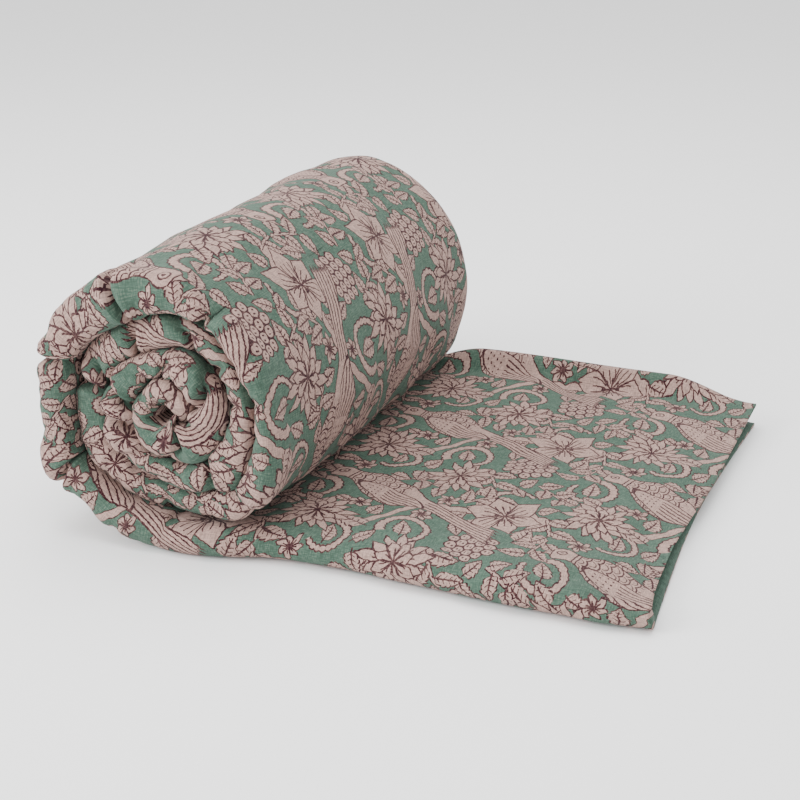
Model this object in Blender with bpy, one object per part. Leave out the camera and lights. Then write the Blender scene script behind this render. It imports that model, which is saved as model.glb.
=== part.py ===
"""Bed runner: a padded quilt, folded in half along its length and rolled up from one end.

The quilt is one solid.  Its section is a long U lying on its side: two padded layers joined at a
soft fold on the near side (-Y), with two thin sewn edges lying open on the far side (+Y).  That
section runs from a flat tail at +X, under the roll, and around a spiral that ends in the core.
Metres, +Z up.  The origin is the middle of the footprint, on the surface it lies on.
"""

import math

import bmesh
import bpy
import numpy as np
from mathutils import Vector

# --- driving dimensions ------------------------------------------------------------------------
FOLDED_WIDTH = 0.487        # from the middle of the fold to the sewn edges
TAIL_LENGTH = 0.462         # from the sewn end to the point under the middle of the roll
LAYER = 0.0128              # one padded layer, in the middle of the cloth
LAYER_MOST = 0.0165         # the most that a layer swells between two turns
SLIT = 0.0020               # air between the two layers
TURN_GAP = 0.0015           # air between one turn and the next
TURN_PITCH = 0.0300         # from one turn of the roll to the next
ROLL_RADIUS = 0.1250        # middle of the outer turn, where it leaves the floor
TURNS = 3.85                # from the floor to the core
EDGE = 0.0028               # thickness of the sewn edges
EDGE_RISE = 0.20            # where a sewn edge lies in its layer: 0 middle, 0.5 printed face
EDGE_REACH = 0.030          # how far in from a sewn edge the padding takes to fill out
END_REACH = 0.034           # the same at the sewn end of the tail
LIP_HEIGHT = 0.020          # the far edge of the tail's upper layer curls up this much
LIP_WIDTH = 0.030           # the strip along the far edge that curls
LIP_GROWTH = 0.10           # the curl grows over this length from either end of the tail
LIP_CLEAR = 0.04            # and it ends this far before the roll
SINK_REACH = 0.110          # how far in from the sewn end the upper layer sinks
INWARD_EASE = 0.30          # how fast the turns get rounder towards the core
FAR_FROM = 0.40             # from this part of the width on, a turn has its open side's shape

STATIONS_FLAT = 15          # sections along the tail
STATIONS_ROLL = 128         # sections along the spiral
FOLD_STEPS = 6              # flats around the fold

# Where the printed and lining faces get their points across the width, as parts of it from the
# fold to the sewn edge.
ACROSS = (0.00, 0.18, 0.55, 0.86, 0.955, 1.00)

# How the roll leaves a true spiral: "turn" is the angle travelled from the floor, in degrees,
# and "near" and "far" multiply the radius at the fold side and at the open side.
ROUNDNESS = (
    # turn  near   far
    (0,     1.000, 1.000),
    (30,    1.080, 1.080),
    (45,    1.105, 1.120),
    (60,    1.070, 1.090),
    (90,    0.985, 1.035),
    (120,   0.965, 1.020),
    (150,   0.945, 1.045),
    (180,   0.965, 1.070),
    (210,   0.975, 1.040),
    (240,   0.995, 1.005),
    (270,   1.050, 1.065),
    (300,   1.190, 1.230),
    (315,   1.280, 1.350),
    (330,   1.130, 1.135),
    (345,   1.050, 1.050),
    (360,   1.000, 1.000),
)

# How far the sewn end of the tail is drawn in, by place across the width, in the lower and the
# upper layer, and how far the upper layer sinks onto the lower one there.
END_SHAPE = (
    # across lower  upper  sink
    (0.00,   0.002, 0.003, 0.012),
    (0.12,   0.006, 0.014, 0.011),
    (0.30,   0.014, 0.021, 0.008),
    (0.50,   0.014, 0.016, 0.006),
    (0.75,   0.006, 0.006, 0.003),
    (1.00,   0.000, 0.000, 0.000),
)

# How far the cloth has crept sideways (+Y) as it was wound, by distance along it from the tail.
CREEP = (
    # along  shift
    (0.00,   0.000),
    (0.15,   0.003),
    (0.36,   0.002),
    (0.44,  -0.021),
    (0.54,  -0.020),
    (0.80,  -0.010),
    (1.20,  -0.006),
    (1.60,  -0.010),
    (2.20,  -0.004),
)


def column(table, index):
    """One named column of a table."""
    return [row[index] for row in table]


def smooth(t):
    """0 to 1 with level ends."""
    t = np.clip(t, 0.0, 1.0)
    return t * t * (3.0 - 2.0 * t)


# --- the path of the middle of the two layers ---------------------------------------------------
def radius_at(turn, across):
    """Middle radius at an angle travelled (radians) and a place across the width (0 to 1)."""
    degrees = math.degrees(turn) % 360.0
    near = np.interp(degrees, column(ROUNDNESS, 0), column(ROUNDNESS, 1))
    far = np.interp(degrees, column(ROUNDNESS, 0), column(ROUNDNESS, 2))
    spiral = ROLL_RADIUS - TURN_PITCH * turn / (2.0 * math.pi)
    factor = near + (far - near) * smooth(across / FAR_FROM)
    inner = max(0.0, 1.0 - INWARD_EASE * turn / (2.0 * math.pi))
    return spiral * (1.0 + (factor - 1.0) * inner)


def middle_height():
    """Height of the slit between the layers where the cloth lies flat."""
    return LAYER + SLIT / 2.0


def path_point(turn, across):
    """A point of the spiral in X and Z; the roll turns clockwise seen from the fold side."""
    radius = radius_at(turn, across)
    x = -TAIL_LENGTH - radius * math.sin(turn)
    z = middle_height() + ROLL_RADIUS - radius * math.cos(turn)
    return np.array((x, z))


def roll_frame(turn, across):
    """Point on the spiral and the direction away from the roll's middle."""
    step = 0.01  # radians
    ahead = path_point(turn + step, across) - path_point(max(turn - step, 0.0), across)
    ahead = ahead / np.linalg.norm(ahead)
    return path_point(turn, across), np.array((-ahead[1], ahead[0]))


# --- the section ---------------------------------------------------------------------------------
def fullness(across, along, length):
    """How full the padding is at a place in the cloth, from the seam's thickness up to 1."""
    to_edge = (1.0 - across) * FOLDED_WIDTH
    side = math.sqrt(1.0 - (1.0 - min(to_edge / EDGE_REACH, 1.0)) ** 2)
    to_end = min(along, length - along)
    end = math.sqrt(1.0 - (1.0 - min(to_end / END_REACH, 1.0)) ** 2)
    least = EDGE / LAYER
    return least + (1.0 - least) * side * end


def lip(across, along):
    """Upward curl of the upper layer's far edge, only along the tail."""
    edgewise = smooth((across * FOLDED_WIDTH - FOLDED_WIDTH + LIP_WIDTH) / LIP_WIDTH)
    tail = smooth(along / LIP_GROWTH) * smooth((TAIL_LENGTH - LIP_CLEAR - along) / LIP_GROWTH)
    return LIP_HEIGHT * edgewise * tail


def room(turn, across):
    """Thickness that a layer may have, on the outer and on the inner side of the slit.

    Inside the roll the padding swells until it almost meets the next turn.
    """
    outer = inner = LAYER
    if turn is not None:
        here = radius_at(turn, across)
        lap = 2.0 * math.pi
        if turn >= lap:
            outer = (radius_at(turn - lap, across) - here - TURN_GAP - SLIT) / 2.0
        if turn + lap <= TURNS * lap:
            inner = (here - radius_at(turn + lap, across) - TURN_GAP - SLIT) / 2.0
        else:
            inner = min(LAYER, here - TURN_GAP - SLIT)
    return min(outer, LAYER_MOST), min(inner, LAYER_MOST)


def layer(side, along, turn, length):
    """Printed and lining face of one layer from the fold to its sewn edge: (across, out) rows."""
    printed = []
    lining = []
    for across in ACROSS:
        full = room(turn, across)[side]
        thick = full * fullness(across, along, length)
        middle = (SLIT + full) / 2.0 + EDGE_RISE * (full - thick)
        curl = lip(across, along) if side else 0.0
        printed.append((across, middle + thick / 2.0 + curl))
        lining.append((across, max(middle - thick / 2.0, SLIT / 2.0) + curl))
    return printed, lining


def around_fold(outer, inner):
    """The points of the fold between the outer and the inner layer's first points."""
    deep = (outer + inner) / 2.0
    rows = []
    for step in range(1, FOLD_STEPS):
        angle = math.pi * step / FOLD_STEPS
        out = outer * math.cos(angle) if angle < math.pi / 2.0 else inner * math.cos(angle)
        rows.append((-deep * math.sin(angle) / FOLDED_WIDTH, out))
    return rows


def section(along, turn, length):
    """Printed and lining face of one section, as rows of (across, out).

    "out" is measured from the slit, towards the outer or lower layer.  Both lists run from the
    far edge of that layer, around the fold, to the far edge of the other layer.
    """
    outer_printed, outer_lining = layer(0, along, turn, length)
    inner_printed, inner_lining = layer(1, along, turn, length)
    printed = outer_printed[::-1] + around_fold(outer_printed[0][1], inner_printed[0][1])
    printed += [(across, -out) for across, out in inner_printed]
    lining = outer_lining[::-1] + around_fold(outer_lining[0][1], inner_lining[0][1])
    lining += [(across, -out) for across, out in inner_lining]
    return printed, lining


def stations():
    """Distance along the cloth and the turn angle (None on the tail) of each section."""
    rows = []
    for index in range(STATIONS_FLAT):
        part = index / STATIONS_FLAT
        along = TAIL_LENGTH * (0.25 * part + 0.75 * part ** 1.5)
        rows.append((along, None))
    along = TAIL_LENGTH
    step = TURNS * 2.0 * math.pi / STATIONS_ROLL
    for index in range(STATIONS_ROLL + 1):
        turn = index * step
        rows.append((along, turn))
        along += radius_at(turn + step / 2.0, 0.5) * step
    return rows


def placed(across, out, along, turn):
    """A section point in space; the surface underneath flattens what would sink into it."""
    creep = np.interp(along, column(CREEP, 0), column(CREEP, 1))
    y = across * FOLDED_WIDTH + creep
    if turn is None:
        draw = np.interp(across, column(END_SHAPE, 0), column(END_SHAPE, 1 if out > 0 else 2))
        sink = np.interp(across, column(END_SHAPE, 0), column(END_SHAPE, 3))
        sink *= smooth(1.0 - along / SINK_REACH) * min(max(-out / LAYER, 0.0), 1.0)
        return (-along - draw * (1.0 - along / TAIL_LENGTH), y, middle_height() - out - sink)
    point, outward = roll_frame(turn, min(max(across, 0.0), 1.0))
    x, z = point + outward * out
    return (x, y, max(z, 0.0))


# --- the solid -------------------------------------------------------------------------------------
def build_quilt(collection, material):
    rows = stations()
    length = rows[-1][0]
    mesh = bmesh.new()
    rings = []
    for along, turn in rows:
        printed, lining = section(along, turn, length)
        loop = printed + lining[::-1]
        rings.append([mesh.verts.new(placed(a, o, along, turn)) for a, o in loop])
    count = len(rings[0])
    for ring, following in zip(rings, rings[1:]):
        for i in range(count):
            j = (i + 1) % count
            mesh.faces.new((ring[i], ring[j], following[j], following[i]))
    half = count // 2
    for ring in (rings[0], rings[-1]):
        for i in range(half - 1):
            mesh.faces.new((ring[i], ring[i + 1], ring[count - 2 - i], ring[count - 1 - i]))
    bmesh.ops.recalc_face_normals(mesh, faces=mesh.faces)
    centre_on_floor(mesh)
    data = bpy.data.meshes.new("quilt")
    mesh.to_mesh(data)
    mesh.free()
    data.materials.append(material)
    data.shade_smooth()
    quilt = bpy.data.objects.new("quilt", data)
    collection.objects.link(quilt)
    return quilt


def centre_on_floor(mesh):
    """Put the middle of the footprint at the origin and the lowest point at zero."""
    low = Vector([min(v.co[i] for v in mesh.verts) for i in range(3)])
    high = Vector([max(v.co[i] for v in mesh.verts) for i in range(3)])
    shift = Vector((-(low.x + high.x) / 2.0, -(low.y + high.y) / 2.0, -low.z))
    bmesh.ops.translate(mesh, verts=mesh.verts, vec=shift)


def cotton():
    """Printed cotton, seen as its green ground."""
    material = bpy.data.materials.new("printed cotton")
    material.use_nodes = True
    shader = material.node_tree.nodes["Principled BSDF"]
    shader.inputs["Base Color"].default_value = (0.17, 0.27, 0.21, 1.0)
    shader.inputs["Roughness"].default_value = 0.85
    shader.inputs["Metallic"].default_value = 0.0
    return material


def build():
    for item in list(bpy.data.objects):
        bpy.data.objects.remove(item, do_unlink=True)
    collection = bpy.data.collections.new("bed runner")
    bpy.context.scene.collection.children.link(collection)
    build_quilt(collection, cotton())


build()
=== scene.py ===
import math

import bmesh
import bpy
import numpy as np
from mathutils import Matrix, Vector


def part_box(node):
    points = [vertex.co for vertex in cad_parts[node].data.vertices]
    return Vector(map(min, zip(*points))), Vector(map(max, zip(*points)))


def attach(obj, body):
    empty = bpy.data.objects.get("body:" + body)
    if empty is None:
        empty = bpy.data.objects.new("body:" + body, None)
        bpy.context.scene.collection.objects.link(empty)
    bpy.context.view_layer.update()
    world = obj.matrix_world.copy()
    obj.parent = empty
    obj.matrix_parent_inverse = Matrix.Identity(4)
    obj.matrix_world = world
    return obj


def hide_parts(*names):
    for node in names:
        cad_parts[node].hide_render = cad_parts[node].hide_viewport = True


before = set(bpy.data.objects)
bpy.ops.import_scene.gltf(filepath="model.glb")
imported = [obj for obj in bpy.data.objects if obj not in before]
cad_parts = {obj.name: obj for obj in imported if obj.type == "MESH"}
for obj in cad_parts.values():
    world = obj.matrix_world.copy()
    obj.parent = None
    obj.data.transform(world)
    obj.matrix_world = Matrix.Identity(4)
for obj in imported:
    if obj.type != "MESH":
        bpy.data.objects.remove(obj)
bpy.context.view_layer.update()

# --- Padded quilt -----------------------------------------
# One layer of wadding between two thin cottons, sewn together right sides inward along the edges
# and turned out, so that it has no quilting lines and no binding, only a knife edge.
# It is folded in half along its length, printed side out, and rolled up from one end.
FOLDED_WIDTH = 0.487        # from where the fold begins to the sewn edges
TAIL_LENGTH = 0.462         # from the sewn end to the point under the middle of the roll
LAYER = 0.0128              # one padded layer in the middle of the cloth
LAYER_MOST = 0.0165         # the most that a layer swells between two turns
LAYER_LEAST = 0.003         # and the least that it is pressed to
SLIT = 0.0020               # air between the two layers
TURN_GAP = 0.0012           # air between one turn and the next
TURN_PITCH = 0.0300         # from one turn of the roll to the next
ROLL_RADIUS = 0.1250        # middle of the outer turn, where it leaves the floor
TURNS = 3.85                # from the floor to the core
INWARD_EASE = 0.30          # how fast the turns get rounder towards the core
EDGE = 0.0026               # thickness of the sewn edges
EDGE_REACH = 0.034          # how far in from a sewn edge the padding takes to fill out
CORE_REACH = 0.022          # the same at the sewn end in the core
SEAM_PLACE = 0.20           # where the seam lies in its layer: 0 middle, 0.5 printed face
SEAM_DRAWN = 0.22           # how much nearer to the printed face it is at the tail's end
LIP_HEIGHT = 0.023          # the far edge of the tail's upper layer curls up this much
LIP_WIDTH = 0.030           # the strip along the far edge that curls
LIP_GROWTH = 0.10           # the curl grows over this length from either end of the tail
LIP_CLEAR = 0.04            # and it ends this far before the roll
SINK_REACH = 0.110          # how far in from the sewn end the upper layer sinks
NEAR_SWELL = 0.0095         # how much more a layer may swell at the fold
CORE_SWELL = 0.010          # and how much more again in the innermost turn
TAIL_BULGE = 0.008          # how much further the fold stands out on the tail
ROLL_BULGE = 0.003          # and in the roll
CORE_GAP = 0.0008           # half the gap where the cloth closes on itself in the core
FOLD_DEPTH = 0.0138         # usual distance from the slit to the printed face
LAP = 2.0 * math.pi
MIDDLE = LAYER + SLIT / 2.0
CORE_SLANT = math.radians(55.0)     # which way the line across the core runs

# How the roll leaves a true spiral: the angle travelled from the floor, in degrees, and what
# the radius is multiplied by at the fold side and at the open side.
ROUNDNESS = (
    # turn  near   far
    (-15,   1.050, 1.050),
    (0,     1.000, 1.000),
    (30,    1.080, 1.080),
    (45,    1.105, 1.120),
    (60,    1.070, 1.090),
    (90,    0.985, 1.035),
    (120,   0.965, 1.020),
    (150,   0.945, 1.070),
    (180,   0.965, 1.108),
    (210,   0.975, 1.048),
    (240,   0.995, 1.022),
    (270,   1.050, 1.088),
    (300,   1.190, 1.230),
    (315,   1.280, 1.350),
    (330,   1.130, 1.135),
    (345,   1.050, 1.050),
    (360,   1.000, 1.000),
    (390,   1.080, 1.080),
)

# The sewn end of the tail: how far it is drawn in, in the lower and the upper layer, and how
# far the upper layer sinks onto the lower one, by place across the folded width.
END_SHAPE = (
    # across lower  upper  sink
    (0.00,   0.002, 0.005, 0.006),
    (0.05,   0.004, 0.009, 0.009),
    (0.12,   0.006, 0.012, 0.011),
    (0.30,   0.011, 0.014, 0.011),
    (0.50,   0.013, 0.007, 0.010),
    (0.75,   0.008, 0.004, 0.007),
    (1.00,   0.000, 0.000, 0.000),
)

# How far the cloth crept sideways (+Y) as it was wound, by distance from the sewn end.
CREEP = (
    # along  shift
    (0.00,   0.000),
    (0.15,   0.003),
    (0.36,   0.002),
    (0.44,  -0.021),
    (0.54,  -0.020),
    (0.80,  -0.012),
    (1.05,  -0.009),
    (1.25,  -0.001),
    (1.50,   0.001),
    (1.70,  -0.004),
    (1.90,  -0.007),
    (2.20,  -0.003),
)

# How the turns have settled at the fold side: what each angle travelled (degrees) adds to the
# radius, and the gap left between this turn and the next one inward; minus is pressed together.
SETTLED = (
    # turn  shift    gap
    (0,     0.0000, -0.0010),
    (20,   -0.0070, -0.0010),
    (42,   -0.0135, -0.0010),
    (57,    0.0010, -0.0010),
    (72,   -0.0055, -0.0010),
    (90,   -0.0050, -0.0010),
    (101,  -0.0040, -0.0010),
    (112,   0.0020, -0.0010),
    (125,   0.0020, -0.0010),
    (150,  -0.0040, -0.0010),
    (180,  -0.0005, -0.0010),
    (210,   0.0000,  0.0050),
    (250,   0.0000,  0.0030),
    (285,   0.0000, -0.0010),
    (330,  -0.0020, -0.0010),
    (360,  -0.0065, -0.0010),
    (390,  -0.0105, -0.0010),
    (420,  -0.0100, -0.0010),
    (450,  -0.0077, -0.0005),
    (480,  -0.0137, -0.0005),
    (510,  -0.0144, -0.0010),
    (540,  -0.0105, -0.0010),
    (570,   0.0060,  0.0010),
    (600,   0.0085,  0.0030),
    (630,   0.0108,  0.0010),
    (660,   0.0075, -0.0010),
    (690,   0.0060, -0.0010),
    (720,   0.0040, -0.0010),
    (750,  -0.0045, -0.0010),
    (780,  -0.0120, -0.0005),
    (810,  -0.0138,  0.0010),
    (840,  -0.0160, -0.0010),
    (870,  -0.0160, -0.0010),
    (900,  -0.0105, -0.0010),
    (930,  -0.0047,  0.0010),
    (960,   0.0020,  0.0000),
    (990,   0.0068, -0.0010),
    (1020,  0.0050, -0.0010),
    (1050,  0.0075, -0.0010),
    (1080,  0.0020, -0.0010),
    (1110, -0.0035, -0.0010),
    (1140, -0.0120, -0.0010),
    (1170, -0.0155, -0.0010),
    (1200, -0.0150, -0.0010),
    (1260, -0.0070, -0.0010),
    (1320, -0.0010, -0.0010),
    (1400,  0.0000, -0.0010),
)

# The padding of the outermost turn at the fold side, where it has bunched up.
BUNCHED = (
    # turn  thickness of the outer layer
    (0,     0.0128),
    (60,    0.0138),
    (90,    0.0135),
    (115,   0.0160),
    (150,   0.0235),
    (180,   0.0215),
    (210,   0.0150),
    (240,   0.0128),
    (360,   0.0128),
)

# Pinches where the wound cloth has been gathered: the angle travelled in degrees, the place
# across the open cloth in metres (0 is the middle of the fold, minus is the outer layer), the
# pinch's half length and half width in metres, its depth, and its lean in degrees off the
# cloth's width.
PINCHES = (
    # turn  place   length width  depth  lean
    (20,   -0.020,  0.050, 0.012, 0.0040,  16),
    (51,   -0.006,  0.050, 0.0045, 0.0180, 10),
    (66,    0.012,  0.030, 0.008, 0.0050, -16),
    (88,    0.016,  0.020, 0.006, 0.0040, -12),
    (108,  -0.014,  0.060, 0.0045, 0.0260, -4),
    (114,  -0.030,  0.030, 0.008, 0.0050,  30),
    (133,   0.018,  0.018, 0.005, 0.0040,  22),
    (161,  -0.006,  0.055, 0.0045, 0.0260,  9),
    (174,   0.018,  0.020, 0.007, 0.0050,  24),
    (196,  -0.050,  0.040, 0.012, 0.0035,  34),
    (211,   0.008,  0.030, 0.0045, 0.0160, -10),
    (236,   0.020,  0.016, 0.006, 0.0050,   8),
    (259,   0.012,  0.022, 0.007, 0.0060, -14),
    (272,  -0.045,  0.040, 0.012, 0.0030, -22),
    (313,  -0.012,  0.040, 0.007, 0.0110,   4),
    (330,  -0.030,  0.040, 0.011, 0.0035,  18),
    (384,   0.010,  0.020, 0.006, 0.0040,  24),
    (414,   0.006,  0.024, 0.006, 0.0080, -16),
    (430,  -0.010,  0.020, 0.007, 0.0030,   6),
    (457,   0.004,  0.032, 0.0050, 0.0230,  10),
    (470,   0.012,  0.022, 0.0050, 0.0200, -24),
    (516,   0.012,  0.026, 0.0050, 0.0210, -20),
    (536,  -0.012,  0.018, 0.007, 0.0030, -24),
    (565,   0.010,  0.026, 0.0045, 0.0160,  24),
    (594,   0.016,  0.022, 0.005, 0.0100,   0),
    (622,   0.016,  0.022, 0.005, 0.0090,  -8),
    (648,  -0.010,  0.020, 0.008, 0.0030,  16),
    (682,   0.004,  0.030, 0.0045, 0.0160, -10),
    (708,   0.014,  0.018, 0.006, 0.0040,  18),
    (750,   0.006,  0.026, 0.006, 0.0090, -18),
    (786,   0.002,  0.034, 0.0065, 0.0300, -30),
    (816,   0.004,  0.034, 0.0065, 0.0300, -26),
    (868,   0.012,  0.022, 0.0050, 0.0110,  18),
    (908,   0.008,  0.024, 0.0050, 0.0160, -24),
    (970,   0.000,  0.034, 0.0060, 0.0240,  30),
    (1012,  0.006,  0.024, 0.0055, 0.0120,  20),
    (1056,  0.002,  0.030, 0.0060, 0.0180, -26),
    (1112,  0.006,  0.026, 0.006, 0.0080, -14),
    (1168,  0.004,  0.026, 0.0060, 0.0060, -20),
)


def read(table, index, at):
    """A column of a table at places along its first column, through its points without kinks."""
    knots = np.array([row[0] for row in table], dtype=float)
    values = np.array([row[index] for row in table], dtype=float)
    slopes = np.gradient(values, knots)
    i = np.clip(np.searchsorted(knots, at, side="right") - 1, 0, len(knots) - 2)
    span = knots[i + 1] - knots[i]
    t = np.clip((at - knots[i]) / span, 0.0, 1.0)
    start = (1.0 + 2.0 * t) * (1.0 - t) ** 2 * values[i] + t * (1.0 - t) ** 2 * span * slopes[i]
    end = t * t * (3.0 - 2.0 * t) * values[i + 1] + t * t * (t - 1.0) * span * slopes[i + 1]
    return start + end


def smooth(t):
    """0 to 1 with level ends."""
    t = np.clip(t, 0.0, 1.0)
    return t * t * (3.0 - 2.0 * t)


def nearness(across):
    """1 at the fold, 0 from the middle of the folded width on."""
    return smooth(1.0 - across / 0.5)


def radius(turn, across):
    """Middle radius by the angle travelled and the place across the folded width (0 to 1)."""
    degrees = np.degrees(turn) % 360.0
    near = read(ROUNDNESS, 1, degrees)
    far = read(ROUNDNESS, 2, degrees)
    factor = near + (far - near) * smooth(across * 2.5)
    inner = np.maximum(0.0, 1.0 - INWARD_EASE * turn / LAP)
    settled = read(SETTLED, 1, np.degrees(turn)) * nearness(across)
    return (ROLL_RADIUS - TURN_PITCH * turn / LAP) * (1.0 + (factor - 1.0) * inner) + settled


def spiral(turn, across):
    """X and Z of the slit between the layers; it winds clockwise seen from the fold."""
    reach = radius(turn, across)
    x = -TAIL_LENGTH - reach * np.sin(turn)
    return np.stack((x, MIDDLE + ROLL_RADIUS - reach * np.cos(turn)), axis=-1)


# Stations along the cloth: "along" is the way from the tail's sewn end, "turn" is in radians.
# In the roll they are about 4 mm apart; on the tail, from 2 mm at the sewn end to 7 mm.
STATION = 0.0040
tail_steps = 84
part = np.arange(tail_steps) / tail_steps
along = list(TAIL_LENGTH * (0.25 * part + 0.75 * part ** 1.4))
turn = [0.0] * tail_steps
here = TAIL_LENGTH
angle = 0.0
while angle < TURNS * LAP:
    along.append(here)
    turn.append(angle)
    reach = float(radius(np.array(angle), 0.5))
    step = min(STATION / reach, 0.14)
    here += reach * step
    angle += step
along = np.array(along)
turn = np.array(turn)
# More of them where the cloth is pinched sharply.
SHARP = 0.016               # the depth of a sharp pinch
CLOSE_STATION = 0.0013
close = [turn[tail_steps:]]
for degrees, spot, half_length, half_width, deep, lean in PINCHES:
    if deep >= SHARP:
        at = math.radians(degrees)
        # the stretch that a pinch takes up is longer where it leans
        spread = 0.0045 + 0.006 * abs(math.tan(math.radians(lean)))
        around = np.arange(-spread, spread, CLOSE_STATION)
        close.append(at + around / float(radius(np.array(at), 0.0)))
close = np.unique(np.concatenate(close))
along = np.append(along[:tail_steps], np.interp(close, turn[tail_steps:], along[tail_steps:]))
turn = np.append(turn[:tail_steps], close)
on_tail = (np.arange(len(along)) < tail_steps)[:, None]
length = along[-1]

# Columns across the open cloth: the outer layer from its sewn edge to the fold, the fold, and
# the inner layer. "across" is 0 to 1 from the fold's start, "swing" is the angle round it. They
# are closer in a strip beside the fold and along the sewn edges.
FOLD_STRIP = 0.10
EDGE_STRIP = 0.93
flat = np.concatenate((np.linspace(0.0, FOLD_STRIP, 22)[1:],
                       np.linspace(FOLD_STRIP, EDGE_STRIP, 23)[1:],
                       np.linspace(EDGE_STRIP, 1.0, 9)[1:]))
swing = np.linspace(-math.pi / 2.0, math.pi / 2.0, 13)
across = np.concatenate((flat[::-1], np.zeros(len(swing)), flat))
quarter = np.full(len(flat), math.pi / 2.0)
swing = np.concatenate((-quarter, swing, quarter))
outside = (swing < 0.0)[None, :]
cloth_v = np.sign(swing) * across * FOLDED_WIDTH + swing * FOLD_DEPTH
cloth_u, cloth_v = np.meshgrid(along, cloth_v, indexing="ij")

# Room for the padding: inside the roll it swells until it almost meets the next turn.
a = across[None, :]
th = turn[:, None]
near = nearness(a)
own = radius(th, a)
most = LAYER_MOST + NEAR_SWELL * near
gap_out = TURN_GAP + (read(SETTLED, 2, np.degrees(th - LAP)) - TURN_GAP) * near
gap_in = TURN_GAP + (read(SETTLED, 2, np.degrees(th)) - TURN_GAP) * near
outer = np.where(th >= LAP, (radius(th - LAP, a) - own - gap_out - SLIT) / 2.0,
                 LAYER + (read(BUNCHED, 1, np.degrees(th)) - LAYER) * near)
inner = np.where(th + LAP <= TURNS * LAP, (own - radius(th + LAP, a) - gap_in - SLIT) / 2.0,
                 own - SLIT)
# The innermost turn closes on itself along a slanting line across the core, with more padding.
slant = np.abs(np.sin(th - CORE_SLANT))
core = own - SLIT / 2.0 - np.minimum(CORE_GAP / np.maximum(slant, 0.04), 0.02)
inner = np.where(th + LAP <= TURNS * LAP, inner, np.minimum(inner, core))
outer = np.where(on_tail, LAYER, np.clip(outer, LAYER_LEAST, most))
most = most + CORE_SWELL * near * smooth(th + LAP - TURNS * LAP)
inner = np.where(on_tail, LAYER, np.clip(inner, LAYER_LEAST, most))
full = np.where(outside, outer, inner)
to_side = np.clip((1.0 - a) * FOLDED_WIDTH / EDGE_REACH, 0.0, 1.0)
to_end = np.minimum(along / EDGE_REACH, (length - along) / CORE_REACH)
to_end = np.clip(to_end, 0.0, 1.0)[:, None]
fill = np.sqrt(1.0 - (1.0 - to_side) ** 2) * np.sqrt(1.0 - (1.0 - to_end) ** 2)
thick = EDGE + (full - EDGE) * fill
# The seam lies a little outside the middle of its layer, and further out at the tail's end.
seam = SEAM_PLACE + SEAM_DRAWN * (1.0 - to_end) * on_tail
centre = (SLIT + full) / 2.0 + seam * (full - thick)
curl = LIP_HEIGHT * smooth((a - 1.0) * FOLDED_WIDTH / LIP_WIDTH + 1.0)
grown = smooth(along / LIP_GROWTH) * smooth((TAIL_LENGTH - LIP_CLEAR - along) / LIP_GROWTH)
curl = curl * grown[:, None]
curl = np.where(outside, 0.0, curl)


def place(out, share):
    """Cloth points in space: "out" is their height from the slit, to its outer or inner side, and
    "share" how much of the fold's depth they take."""
    depth = (outer[:, :1] + inner[:, :1]) / 2.0 + SLIT / 2.0
    # the fold stands out a little further than its padding asks, and it is drawn in at the core
    on_floor = smooth(along / 0.05) * smooth((TAIL_LENGTH - along) / 0.08)
    wound = smooth((along - TAIL_LENGTH) / 0.05)
    depth = depth + (TAIL_BULGE * on_floor + ROLL_BULGE * wound)[:, None]
    depth = depth * np.where(on_tail, 1.0, 0.1 + 0.9 * np.sqrt(1.0 - (1.0 - to_end) ** 2))
    # it is a little boxy in section
    bulge = np.maximum(np.cos(swing), 0.0)[None, :] ** 0.75
    y = a * FOLDED_WIDTH - share * depth * bulge
    y = y + read(CREEP, 1, along)[:, None]
    draw = np.where(out > 0.0, read(END_SHAPE, 1, a), read(END_SHAPE, 2, a))
    sink = read(END_SHAPE, 3, a) * smooth(1.0 - along / SINK_REACH)[:, None]
    sink = sink * np.clip(-out / LAYER, 0.0, 1.0)
    flat_x = -along[:, None] - draw * (1.0 - along[:, None] / TAIL_LENGTH)
    flat_z = MIDDLE - out - sink
    step = 0.01  # radians
    ahead = spiral(th + step, a) - spiral(np.maximum(th - step, 0.0), a)
    ahead = ahead / np.linalg.norm(ahead, axis=-1, keepdims=True)
    round_x = spiral(th, a)[..., 0] - ahead[..., 1] * out
    round_z = spiral(th, a)[..., 1] + ahead[..., 0] * out
    return np.stack((np.where(on_tail, flat_x, round_x), y,
                     np.where(on_tail, flat_z, round_z)), axis=-1)


side = np.where(outside, 1.0, -1.0)
level = np.abs(np.sin(swing))[None, :]
printed = place(side * (level * (centre + thick / 2.0) + curl), 1.0)
reverse = np.maximum(centre - thick / 2.0, SLIT / 2.0)
lining = place(side * (level * reverse + curl), SLIT / 2.0 / FOLD_DEPTH)


def normals(grid):
    """Unit normals of a grid of points, away from the padding on the printed face."""
    down = np.gradient(grid, axis=0)
    over = np.gradient(grid, axis=1)
    normal = np.cross(over, down)
    return normal / np.maximum(np.linalg.norm(normal, axis=-1, keepdims=True), 1e-9)


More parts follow.
